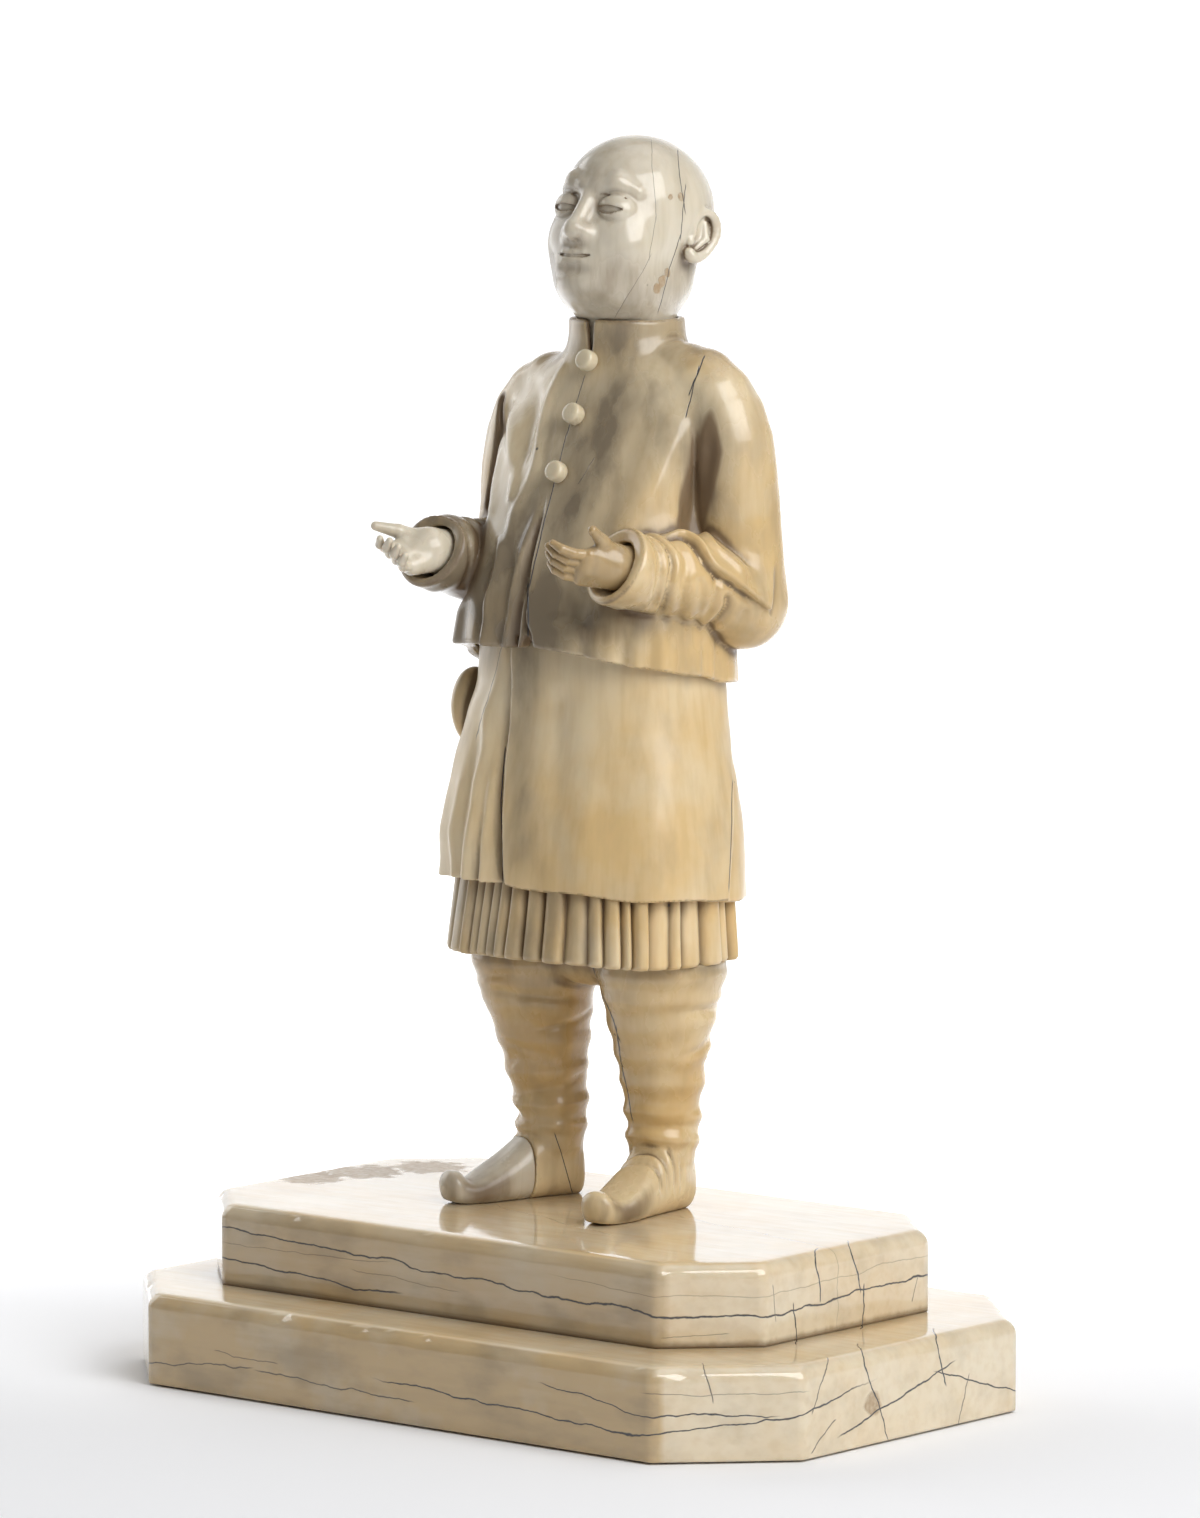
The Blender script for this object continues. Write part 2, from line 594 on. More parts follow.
def carved(name, field, low, high, pitch, material, slot, node, toning=2.0, grime=None, **painting):
    """Carves a solid, given as a field in mm that is negative inside it, and marks its hollows for toning."""
    points, faces = meshed(*sampled(field, low, high, pitch), pitch)
    for _ in range(2):
        value, way = uphill(field, points)
        move = value[:, None] * way / np.maximum((way**2).sum(1), 0.25)[:, None]
        points = points - np.clip(move, -pitch * 0.5, pitch * 0.5)
    way = uphill(field, points)[1]
    way /= np.maximum(np.linalg.norm(way, axis=1), 1e-6)[:, None]
    hollow = sum(np.clip(1 - field(*(points + way * out).T) / out, 0, 1) / 3 for out in HOLLOW_REACHES)
    marks = {"hollow": np.clip(hollow * toning + (grime(*points.T) if grime else 0), 0, 1)}
    for mark, paint in painting.items():
        marks[mark] = np.broadcast_to(paint(*points.T), len(points))
    piece_of(name, points, faces.tolist(), material, [node], marks)


LEG_RINGS = [(49.5, 0.7, 1.3), (54.5, 0.7, 1.5), (61, 0.65, 1.9), (67.5, 0.6, 2.0), (74, 0.55, 2.2), (79, 0.4, 1.6)]
LEG_CREASES = 26


def leg_wrinkles(seed):
    chance = np.random.default_rng(seed)
    folds = Folds(42, 88, 9)
    folds.fold([(-179, 83.2), (0, 83.4), (179, 83.2)], 0.5, 1.6, fade=(0, 0))
    for level, rise, width in LEG_RINGS:
        tilt = chance.uniform(-1.8, 1.8)
        ring = [(-179, level), (-90, level + tilt), (0, level), (90, level - tilt), (179, level)]
        folds.fold(ring, rise, width, fade=(0, 0))
    for _ in range(LEG_CREASES):
        start, level = chance.uniform(-180, 180), 46.5 + 34 * chance.uniform(0, 1) ** 1.5
        length, slope = chance.uniform(50, 130), chance.uniform(-5, 5)
        path = [(start, level), (start + length * 0.5, level + slope * 0.35), (start + length, level + slope)]
        folds.fold(path, -chance.uniform(0.25, 0.5), chance.uniform(0.8, 1.3), fade=(6, 6))
    return folds


LEG_FOLDS = {1: leg_wrinkles(5), -1: leg_wrinkles(6)}


def leg(x, y, z, side):
    middle_x = MIDLINE_X + side * follow(LEG_STATIONS, 1, z)
    middle_y = mix(*LEG_MIDDLE_Y, smooth(z, 50, 84))
    angle = np.arctan2(y - middle_y, x - middle_x)
    edge = reach(angle, follow(LEG_STATIONS, 2, z), follow(LEG_STATIONS, 3, z), LEG_ROUNDNESS)
    form = np.hypot(x - middle_x, y - middle_y) - edge - LEG_FOLDS[side](angle, z) + 0.45 * np.clip(45 - z, 0, 9)
    return cut(cut(form, z - GROUND - 0.5, 0.3), SKIRT_HEM + 0.5 - z, 0.5)


def shoe(x, y, z, side):
    heel, outward = SHOES[side]
    ahead = (math.sin(math.radians(outward)), -math.cos(math.radians(outward)))
    along = (x - heel[0]) * ahead[0] + (y - heel[1]) * ahead[1]
    across = (y - heel[1]) * ahead[0] - (x - heel[0]) * ahead[1]
    share = along / SHOE_LENGTH
    half, top, sole = (follow(SHOE_STATIONS, column, share) for column in (1, 2, 3))
    up = z - GROUND
    tall = (top - sole) / 2 + 0.5
    rounded = (np.abs(across) / half) ** SHOE_ROUNDNESS + (np.abs(up - (top + sole) / 2) / tall) ** SHOE_ROUNDNESS
    form = (rounded ** (1 / SHOE_ROUNDNESS) - 1) * np.minimum(half, tall)
    form = cut(cut(form, along, 2), SHOE_LENGTH - 0.6 - along, 2.0)
    form = join(form, egg(along, across, up, (SHOE_LENGTH - 2.6, 0, 4.2), (2.4, 2.9, 2.6)), 1.0)
    if side == "left":
        grooves = sum(0.6 * bell(along - place + 0.1 * across, 0.65) for place in SHOE_GROOVES)
        form = form + smooth(up, 3, 7) * grooves
    return cut(form, up - sole, 0.3), along


def legs_form(x, y, z):
    trousers = join(leg(x, y, z, 1), leg(x, y, z, -1), 1.5)
    seat = egg(x, y, z, (MIDLINE_X, LEG_MIDDLE_Y[1], SKIRT_HEM), (14, 9, 6.5))
    form = join(trousers, cut(seat, SKIRT_HEM + 0.5 - z, 0.5), 1.5)
    left = shoe(x, y, z, "left")[0]
    right, along = shoe(x, y, z, "right")
    right = cut(right, SHOE_JOINT - along, 0.2)
    return join(join(form, left, 0.6), right, 0.6) + hand_work(x, y, z, 0.08)


def leg_amber(x, y, z):
    return mix(0.8, 0.35, smooth(x, -16, 12)) * smooth(z, 40, 54) + 0.25 * bell(z - 58, 12)


def leg_toning(x, y, z):
    under_hem = 0.5 * bell(z - SKIRT_HEM, 3.0)
    leggings = mix(0.22, 0.05, smooth(x, -14, 6)) * smooth(z, 36, 50)
    return under_hem + leggings + 0.25 * bell(x - 6, 4) * smooth(z, 50, 70)


LEG_CRACKS = [
    ((-0.69, -0.64, -0.34), (5.2, 4.6, 77.5), 9, 2.5, 0.26, 1.0),
    ((-0.74, -0.65, -0.18), (8.8, 6.0, 63.5), 11, 2.5, 0.26, 1.0),
    ((-0.71, -0.65, -0.28), (-13.9, 13.9, 41.9), 8, 1.5, 0.24, 1.0),
]
leg_ivory = ivory("leg ivory", HONEY_PALE, HONEY_DEEP, 0.26, (1, 1, 0.2), 0.02, LEG_CRACKS)
carved(
    "legs_and_shoes", legs_form, (-38, -14, 34), (30, 30, 88), 0.4, leg_ivory, "honey_ivory", "legs",
    amber=leg_amber, toned=leg_toning,
)

# Front of the right shoe: a whiter piece of ivory, let on in front of a straight joint.
# The joint shows as a dark line across the shoe.
PALE = (0.71, 0.65, 0.535, 1)
PALE_DEEP = (0.66, 0.56, 0.38, 1)
JOINT_GAP = 0.3


def shoe_front_toning(x, y, z):
    return 0.22 + 0.4 * smooth(z, GROUND + 3, GROUND) + 0.25 * bell(x + 22, 5) * bell(z - GROUND - 4, 4)


def shoe_front_form(x, y, z):
    form, along = shoe(x, y, z, "right")
    return cut(cut(form, along - SHOE_JOINT - JOINT_GAP, 0.2), leg(x, y, z, -1) - 0.1, 0.2)


pale_ivory = ivory("pale ivory", PALE, PALE_DEEP, 0.27)
carved(
    "right_shoe_toe", shoe_front_form, (-38, -14, 34), (-12, 14, 52), 0.25, pale_ivory, "pale_ivory",
    "right_shoe_front", toned=shoe_front_toning,
)

# Pleated underskirt: a band of soft upright pleats of uneven widths with deep dark grooves between them. It
# is carved in one with the tunic, and its top runs up inside the tunic's hem.
BAND_COLUMNS = 1801
BAND_ROWS = 41
PLEAT_SWAY = 0.010
GROOVES_IN_FRONT = [
    -131, -127, -122, -116.5, -109, -101.5, -90, -77, -63.5, -51.5, -44.5, -37, -33, -26, -16.5, -11, 1, 12,
]
CLOTH_PALE = (0.80, 0.68, 0.47, 1)
CLOTH_DEEP = (0.72, 0.51, 0.24, 1)
clothes_ivory = ivory("clothes ivory", CLOTH_PALE, CLOTH_DEEP, 0.33, (1, 1, 0.1), 0.03, [
    ((-0.75, -0.61, 0.27), (-15.9, -5.9, 141.0), 13, 3, 0.2, 0.6),
    ((-0.76, -0.64, 0.08), (-11.9, -7.3, 123.5), 6, 0.6, 0.26, 1.0),
    ((-0.76, -0.65, -0.02), (-10.7, -9.1, 110.4), 9, 0.6, 0.26, 1.0),
    ((-0.78, -0.63, 0.03), (26.3, 18.0, 111.8), 12, 0.6, 0.2, 0.9),
])


def new_shape(name, inputs):
    """A node tree that makes a shape from named inputs, and those inputs as wires."""
    tree = bpy.data.node_groups.new(name, "GeometryNodeTree")
    for label, kind in inputs.items():
        tree.interface.new_socket(label, in_out="INPUT", socket_type=f"NodeSocket{kind}")
    tree.interface.new_socket("Shape", in_out="OUTPUT", socket_type="NodeSocketGeometry")
    given = tree.nodes.new("NodeGroupInput").outputs
    return tree, {label: Wire(given[label]) for label in inputs}


def finished(tree, shape, finish):
    """Ends a tree: smooth, made real, and given its material."""
    shape = wire(tree, "GeometryNodeSetShadeSmooth", {0: shape})
    shape = wire(tree, "GeometryNodeRealizeInstances", {0: shape})
    shape = wire(tree, "GeometryNodeSetMaterial", {"Geometry": shape, "Material": finish})
    fill(tree.nodes.new("NodeGroupOutput"), {0: shape})


def grown(name, tree, values, node):
    """Makes a plain mesh from a tree and its values."""
    piece = bpy.data.objects.new(name, bpy.data.meshes.new(name))
    bpy.context.collection.objects.link(piece)
    shaper = piece.modifiers.new("shape", "NODES")
    shaper.node_group = tree
    for socket in tree.interface.items_tree:
        if socket.in_out == "INPUT":
            shaper[socket.identifier] = values[socket.name]
    mesh = bpy.data.meshes.new_from_object(piece.evaluated_get(bpy.context.evaluated_depsgraph_get()))
    piece.modifiers.clear()
    piece.data = mesh
    join_figure(piece, [node])


def curve(value, points):
    """A curve through points, read at a value. Both run from 0 to 1."""
    read = wire(value.tree, "ShaderNodeFloatCurve", {"Value": value})
    mapping = read.socket.node.mapping
    line = mapping.curves[0].points
    for place, height in points[1:-1]:
        line.new(place, height)
    line[0].location, line[-1].location = points[0], points[-1]
    for point in line:
        point.handle_type = "VECTOR"
    mapping.update()
    return read


def groove_places():
    """Where the grooves lie, as shares of the way round: as seen in front, and by chance behind."""
    places = [(degrees + 360) % 360 / 360 for degrees in GROOVES_IN_FRONT]
    chance = np.random.default_rng(11)
    behind, last_behind = 20.0, 224
    while behind < last_behind:
        places.append(behind / 360)
        behind += chance.uniform(6, 12)
    return [0] + sorted(place for place in places if 0.004 < place < 0.996) + [1]


def pleated_band():
    """A tree for the pleats: a flat grid bent into a band and pushed out and in, pleat by pleat."""
    sizes = {"Hem": "Vector", "Top": "Vector", "Low": "Float", "High": "Float", "Depth": "Float"}
    tree, given = new_shape("pleated band", {**sizes, "Finish": "Material"})
    grid = {"Size X": 1, "Size Y": 1, "Vertices X": BAND_COLUMNS, "Vertices Y": BAND_ROWS}
    band = wire(tree, "GeometryNodeMeshGrid", grid)
    flat_x, flat_y, _ = parts(wire(tree, "GeometryNodeInputPosition"))
    around, up = flat_x + 0.5, flat_y + 0.5
    share = curve(up, [(0, 0), (0.075, 0.95), (0.1, 0.985), (0.125, 1), (0.925, 1), (0.95, 0.97), (1, 0)])
    height = curve(up, [(0, 0), (0.075, 0), (0.1, 0.012), (0.125, 0.05), (0.925, 1), (1, 1)])
    swing = wire(tree, "ShaderNodeCombineXYZ", {0: 12 * around, 1: 0.8 * up})
    sway = wire(tree, "ShaderNodeTexNoise", {"Vector": swing, "Scale": 1, "Detail": 1}) - 0.5
    ends = eased(around, 0, 0.02) * eased(around, 1, 0.98)
    swayed = sway * ends * (PLEAT_SWAY - PLEAT_SWAY * height) + around
    places = groove_places()
    pleats = len(places) - 1
    phase = pleats * curve(swayed, [(place, k / pleats) for k, place in enumerate(places)])
    off = maths("ABSOLUTE", 2 * maths("FRACT", phase) - 1)
    own = wire(tree, "ShaderNodeTexWhiteNoise", {"W": maths("FLOOR", phase)}, noise_dimensions="1D")
    groove = off ** (3.5 * own + 1.8)
    sunk = 0.6 * groove + 0.3 * off**2
    rise = (0.3 - sunk + (own - 0.4) * (1 - off**4)) * given["Depth"]
    size = wire(tree, "ShaderNodeMix", {0: height, 4: given["Hem"], 5: given["Top"]}, 1, data_type="VECTOR")
    half_width, half_depth, middle_y = parts(size)
    cosine, sine = (maths(how, 2 * math.pi * around) for how in ("COSINE", "SINE"))
    across = (maths("ABSOLUTE", cosine) / half_width) ** ROUNDNESS
    deep = (maths("ABSOLUTE", sine) / half_depth) ** ROUNDNESS
    out = ((across + deep) ** (-1 / ROUNDNESS) + rise) * share
    x = cosine * out + MIDLINE_X
    drop = eased(sine, -0.2, -1) * share * (1 - height)
    z = (given["High"] - given["Low"]) * height + given["Low"] + drop
    place = wire(tree, "ShaderNodeCombineXYZ", {0: 0.001 * x, 1: 0.001 * (sine * out + middle_y), 2: 0.001 * z})
    marks = {
        "hollow": 0.7 * groove + 0.35 * eased(height, 0.5, 0.85),
        "toned": 0.36 * eased(x, 24, 4) + 0.16 * own,
        "amber": 0.35 * eased(x, -12, 14) + 0.5 * own,
    }
    for mark, value in marks.items():
        band = wire(tree, "GeometryNodeStoreNamedAttribute", {"Geometry": band, "Name": mark, "Value": value})
    band = wire(tree, "GeometryNodeSetPosition", {"Geometry": band, "Position": place})
    band = wire(tree, "GeometryNodeMergeByDistance", {"Geometry": band, "Distance": 0.000004})
    finished(tree, band, given["Finish"])
    return tree


BAND = {
    "Hem": (29.9, 21.6, 9.6),
    "Top": (28.4, 19.8, 10.4),
    "Low": 86.0,
    "High": 104.0,
    "Depth": 1.9,
    "Finish": clothes_ivory,
}
grown("pleated_underskirt", pleated_band(), BAND, "tunic_and_skirt")

# Tunic: it wraps over at the front and is slit at the sides, where the back panel flares out. A flat purse
# hangs at the right hip. Tunic and purse are carved in one.
TUNIC_STATIONS = [
    [97, 10.5, 31.8, 22.3],
    [99.5, 10.6, 31.6, 22.1],
    [112, 11.3, 30.6, 21.4],
    [125, 12.3, 28.6, 19.9],
    [137, 13.2, 26.9, 18.5],
    [151.6, 13.2, 25.6, 17.6],
]
TUNIC_HEM = [
    [-180, 99.5], [-150, 101.2], [-132, 101.8], [-106, 102], [-102.6, 103], [-101, 102], [-78, 101], [-54, 101],
    [-36, 100], [-16, 100], [0, 99.2], [7, 99], [10, 98.4], [40, 98.2], [70, 99.2], [120, 99.5], [180, 99.5],
]
TUNIC_TOP = 151.6
PURSE = (-32.6, 8.0, 134.6)
PURSE_HALF = (3.6, 6, 8.0)


def around_axis(x, y, z, stations, roundness=ROUNDNESS):
    """The angle of a place round the body, its distance from the middle, and how far out the body's edge is."""
    middle = follow(stations, 1, z)
    angle = np.arctan2(y - middle, x - MIDLINE_X)
    out = np.hypot(x - MIDLINE_X, y - middle)
    return angle, out, reach(angle, follow(stations, 2, z), follow(stations, 3, z), roundness)


TUNIC_FOLDS = Folds(94, 155, 27)
front_edge = [(-101, 96), (-101, 102), (-104, 105), (-107, 111), (-109.5, 118), (-112, 125), (-114, 134), (-118, 152)]
TUNIC_FOLDS.step(front_edge, (0.9, 0.4), 5, (2.4, 0.5), 2.0)
side_edge = [(9, 94), (9.5, 100), (12, 108), (16, 117), (23, 128), (28, 134)]
TUNIC_FOLDS.step(side_edge, (-0.9, -0.1), 2.5, (-0.4, 0), 4, (0.01, 4))
for path, rise, width, fade in [
    ([(-105, 96), (-107.5, 105), (-111, 114), (-115, 124), (-118, 134), (-121, 142)], (-2.2, -0.6), 1.5, (0.01, 8)),
    (
        [(-127, 96), (-126.5, 104), (-125, 115), (-127.5, 121), (-126, 128), (-129, 136), (-126, 146)],
        (1.8, 0.6), (2.0, 1.6), (0.01, 10),
    ),
    ([(-154, 96), (-152, 108), (-149, 122), (-147, 136)], (1.6, 0.5), 2.0, (0.01, 10)),
    ([(-116, 96), (-116.5, 108), (-118, 120), (-118, 132)], (1.2, 0.4), 1.3, (0.01, 8)),
    ([(-135, 96), (-134, 108), (-132.5, 120), (-132, 130)], (-1.5, -0.4), 1.6, (0.01, 8)),
    ([(-143, 96), (-142, 110), (-140, 124)], (-0.8, -0.3), 1.6, (0.01, 8)),
    ([(-140, 96), (-139, 112), (-137, 126)], (1.0, 0.3), 1.5, (0.01, 8)),
    ([(-121.5, 96), (-121.5, 110), (-122, 120)], (-1.2, -0.3), 1.1, (0.01, 8)),
    ([(-170, 96), (-169, 112), (-166, 126), (-164, 140)], (1.4, 1.0), 3.6, (0.01, 6)),
    ([(-142, 102), (-142, 118), (-142, 130), (-143, 142)], 1.7, 6, (8, 8)),
    ([(-64, 96), (-68, 110), (-73, 121), (-77, 134), (-79, 143)], (-0.4, -1.3), 4.6, (0.01, 8)),
    ([(-90, 98), (-93, 112), (-100, 128)], (0.6, 0.2), 3.5, (0.01, 8)),
    ([(-46, 96), (-45, 112), (-44, 128)], (-0.3, -0.7), 3.6, (0.01, 8)),
    ([(-26, 96), (-25, 112), (-24, 134)], 0.4, 4, (0.01, 8)),
    ([(52, 94), (48, 106), (44, 118), (40, 128)], (3.4, 0.2), 9, (0.01, 5)),
]:
    TUNIC_FOLDS.fold(path, rise, width, fade)
for degrees in (92, 118, 150, 176):
    TUNIC_FOLDS.fold([(degrees, 96), (degrees - 2, 112), (degrees - 3, 130)], (0.8, 0.1), 3.2, (0.01, 8))


def tunic_wall(x, y, z):
    angle, out, edge = around_axis(x, y, z, TUNIC_STATIONS)
    return out - edge - TUNIC_FOLDS(angle, z), angle


def tunic_form(x, y, z):
    wall, angle = tunic_wall(x, y, z)
    tunic = cut(cut(wall, z - follow(TUNIC_HEM, 1, np.degrees(angle)), 0.7), TUNIC_TOP - z, 0.2)
    purse = 1.9 * egg(x, y, z, PURSE, PURSE_HALF)
    return join(tunic, purse, 0.8) + hand_work(x, y, z, 0.08)


def tunic_toning(x, y, z):
    under_jacket = 0.4 * bell(z - 153, 9) * smooth(x, 26, -2)
    beside_edge = 0.55 * bell(x - mix(-3, -8, smooth(z, 104, 134)), 4) * smooth(z, 96, 110)
    right_side = 0.3 * smooth(x, -12, -22) * smooth(z, 132, 148)
    return under_jacket + beside_edge + 0.14 * smooth(x, 12, 26) + right_side + 0.15 * smooth(x, -30, -33)


def tunic_amber(x, y, z):
    return 0.1 + 0.4 * smooth(x, -24, 12) * smooth(z, 154, 134) + 0.5 * smooth(x, -30, -33) * smooth(z, 124, 127)


carved(
    "wrapped_tunic", tunic_form, (-42, -16, 95), (34, 38, 153), 0.5, clothes_ivory, "clothes_ivory",
    "tunic_and_skirt", amber=tunic_amber, toned=tunic_toning,
)

# Jacket: body, stand-up collar and both sleeves in one section. The left front lies over the right, whose
# lower part hangs in deep glossy folds. The sleeves are pushed up in rolls and turned back at the cuffs.
JACKET_STATIONS = [
    [141, 12.0, 29.9, 21.0],
    [149, 12.2, 29.2, 20.7],
    [157, 12.5, 28.0, 20.0],
    [166, 13.2, 26.3, 18.2],
    [176, 14.4, 24.9, 15.9],
    [186, 16.0, 24.4, 13.8],
    [194, 18.4, 24.0, 12.6],
    [200, 20.4, 20.6, 11.8],
    [204, 21.4, 17.2, 11.6],
    [207, 21.6, 13.9, 11.7],
    [210, 21.5, 12.1, 11.6],
    [214, 21.3, 11.7, 11.5],
]
COLLAR_TOP = 214
COLLAR_FLOOR = 205
COLLAR_GAP_FOOT = 206.5
COLLAR_BORE = 10.1
COLLAR_MIDDLE_Y = 21.3
JACKET_HEM = [
    [-180, 142.5], [-160, 147], [-148, 148.4], [-130, 149], [-100, 149.2], [-95, 151.6], [-91, 149.9], [-86, 149.6],
    [-68, 149], [-52, 148], [-40, 147], [-28, 146], [-3, 144], [17, 142], [60, 141.5], [180, 142.5],
]
ARMS = {
    "left": {
        "line": [
            (8, 21.6, 203.2, 6.8), (17.2, 22.0, 199.7, 8.0), (22.3, 22.3, 189.5, 8.9), (23.8, 22.6, 173, 9.0),
            (25, 22.8, 158, 9.4),
        ],
        "elbow": (25, 22.8, 161),
        "cuff": (18.6, -7.5, 166.8),
    },
    "right": {
        "line": [
            (-13.5, 21.6, 200.6, 6.0), (-24.2, 22.0, 197.8, 7.8), (-30.0, 22.3, 188.5, 8.8), (-31.8, 22.6, 173, 9.0),
            (-33, 22.8, 158, 9.4),
        ],
        "elbow": (-33, 22.8, 161),
        "cuff": (-31.7, -5.2, 167.1),
    },
}
CUFF_RADIUS = 7.9
ELBOW_RADIUS = 9.9
WELL_DEPTH = 3.3


JACKET_FOLDS = Folds(138, 216, 25)
front_edge = [(-84, 141), (-89, 151), (-94, 154.5), (-96, 160), (-98.5, 166), (-100, 174), (-99.5, 182)]
JACKET_FOLDS.step(front_edge, 0.7, 4, (1.2, 0.8), 1.6, (0.01, 16))
for path, rise, width, fade in [
    # the deep folds that hang beside the overlap, from the hem up
    (
        [(-112, 141), (-107, 151), (-106, 155), (-105, 159), (-103, 164), (-103, 169), (-103, 174), (-102, 179)],
        (-3.2, -0.5), (2.2, 1.2), (0.01, 8),
    ),
    (
        [(-116, 141), (-112, 151), (-110, 155), (-109, 160), (-108, 164), (-107, 169), (-106, 173), (-105, 178)],
        (1.6, 1.0), 1.3, (0.01, 8),
    ),
    ([(-118, 141), (-115, 151), (-113, 156), (-113, 161), (-114, 165), (-121, 170)], (-1.8, -0.8), 1.8, (0.01, 6)),
    (
        [(-127, 141), (-124, 151), (-124, 155), (-124, 159), (-123, 163), (-125, 168), (-134, 171)],
        (1.7, 1.0), 1.3, (0.01, 5),
    ),
    ([(-129, 141), (-128, 151), (-128, 155), (-134, 160), (-134, 164), (-135, 168)], (-1.7, -0.8), 1.5, (0.01, 5)),
    ([(-152, 141), (-148, 151), (-147, 160)], 1.6, 1.6, (0.01, 6)),
    ([(-162, 141), (-161, 156), (-160, 172)], (-1.0, -0.3), 1.8, (0.01, 6)),
    # the ridges and hollows that run up to the right shoulder
    ([(-122, 168), (-123, 172), (-124, 176), (-121, 181)], 0.8, 1.7, (4, 4)),
    (
        [(-126, 178), (-120, 182), (-120, 187), (-125, 192), (-128, 198), (-126, 202), (-123, 206)],
        (0.6, 1.0), 1.9, (4, 4),
    ),
    ([(-130, 181), (-136, 186), (-139, 191), (-144, 196), (-164, 201)], -1.6, 2.8, (8, 7)),
    ([(-130, 176), (-132, 181), (-144, 187), (-156, 193), (-167, 198), (-167, 202)], 0.9, 1.7, (4, 4)),
    ([(-146, 171), (-147, 176), (-154, 181), (-158, 186), (-172, 191), (-170, 197)], 0.9, 1.8, (6, 5)),
    # shallow hollows of the left front, under the left arm and across the chest
    ([(-73, 155), (-72, 161), (-70, 167)], -0.9, 3.0, (2, 7)),
    ([(-60, 154), (-59, 158), (-57, 164)], -0.9, 2.5, (2, 5)),
    ([(-65, 152), (-62, 160), (-52, 172), (-43, 182), (-36, 190), (-31, 199)], -1.0, (4.4, 2.8), (8, 5)),
    ([(-45, 168), (-41, 173), (-34, 178), (-27, 184), (-20, 192), (-14, 197), (2, 200)], 1.1, 3.0, (8, 6)),
    ([(-76, 141), (-77, 150), (-80, 160)], (0.5, 0.1), 3.4, (0.01, 8)),
    ([(-12, 164), (-7, 172), (-3, 180), (-2, 190), (2, 197)], -1.2, 1.8, (4, 4)),
]:
    JACKET_FOLDS.fold(path, rise, width, fade)
for degrees in (52, 75, 98, 121):
    JACKET_FOLDS.fold([(degrees, 150), (degrees + 3, 166), (degrees * 0.8 + 18, 188)], 0.5, 3.0, (8, 10))
for degrees in [-58, -40, -29, -18.5, -11, -2.5, 6, 13, *range(22, 180, 9), -172]:
    depth = 2.0 if -60 < degrees < 8 else 0.3
    flute = [(degrees, 136), (degrees + 0.5, 146), (degrees + 1.5, 157)]
    JACKET_FOLDS.fold(flute, (-depth, -depth / 4), 1.6, (0.01, 7))


def sleeve_folds(side):
    """Folds of a forearm, over the degrees from its top to its left, and mm past the cuff's middle."""
    folds = Folds(-34, 8, 9)
    if side == "left":
        folds.fold([(-8, -13), (0, -17), (0, -25), (13, -29), (43, -31), (62, -34)], -1.3, 0.9)
        roll = [
            (160, -40), (139, -37), (118, -33), (101, -26.7), (87, -21.1), (72, -16.1), (50, -14.3), (22, -12.7),
            (10, -8),
        ]
        folds.step(roll, -0.9, 1.5, -1.5, 3.0, fade=(1, 3))
        folds.fold([(8, -20), (13, -18.7), (43, -18.5), (67, -22.4), (84, -25)], 0.9, 1.2)
        folds.fold([(0, -22), (30, -22), (54, -25), (70, -28)], -0.9, 0.9)
        folds.fold([(-20, -22), (0, -28), (10, -33.6)], 1.0, 2.4)
        rings = [
            [(-175, -3), (-90, -2), (0, -3.8), (71, -4.3), (113, -5), (160, -7)],
            [(-90, -5), (0, -6), (68, -7.2), (111, -7.3), (175, -10.5)],
            [(-90, -9), (20, -9), (65, -10.5), (107, -10.6), (171, -14.8)],
            [(84, -13.7), (117, -15.7), (184, -20.4)],
            [(98, -20.3), (117, -22), (149, -22.3), (184, -23)],
            [(113, -26.2), (132, -27.2), (178, -28.7)],
            [(76, -18), (92, -18), (120, -18.5), (160, -20)],
        ]
    else:
        rings = [
            [(-150, -3), (-60, -2), (54, -1.2), (100, -2.2), (152, -5.1)],
            [(-150, -7), (-60, -6), (50, -5.8), (96, -5.3), (150, -8)],
            [(-150, -10), (-40, -9), (40, -10), (110, -11), (160, -13)],
            [(-120, -14), (-20, -13), (60, -15), (140, -18)],
            [(-160, -19), (-60, -18), (20, -20), (80, -22)],
            [(-150, -24), (-80, -22), (0, -25), (80, -28)],
        ]
    chance = np.random.default_rng(len(rings))
    for ring in rings:
        folds.fold(ring, -chance.uniform(0.6, 1.3), chance.uniform(0.8, 1.2), fade=(3, 3))
    for k in range(5):
        start, level = chance.uniform(-170, -60), -5 - 5.2 * k
        folds.fold([(start, level), (start + 45, level - 1), (start + 90, level + chance.uniform(-3, 1))], -0.7, 1.0)
    folds.fold([(-179, -0.6), (0, -0.6), (179, -0.6)], 0.35, 1.6, fade=(0, 0))
    return folds


SLEEVE_FOLDS = {side: sleeve_folds(side) for side in ARMS}


def with_rods(form, x, y, z, line, blend=0):
    """Adds rods end to end to a form, along a line of places, each given with the radius there."""
    for start, end in zip(line, line[1:]):
        more = rod(x, y, z, start[:3], end[:3], start[3], end[3])
        form = join(form, more, blend) if blend else np.minimum(form, more)
    return form


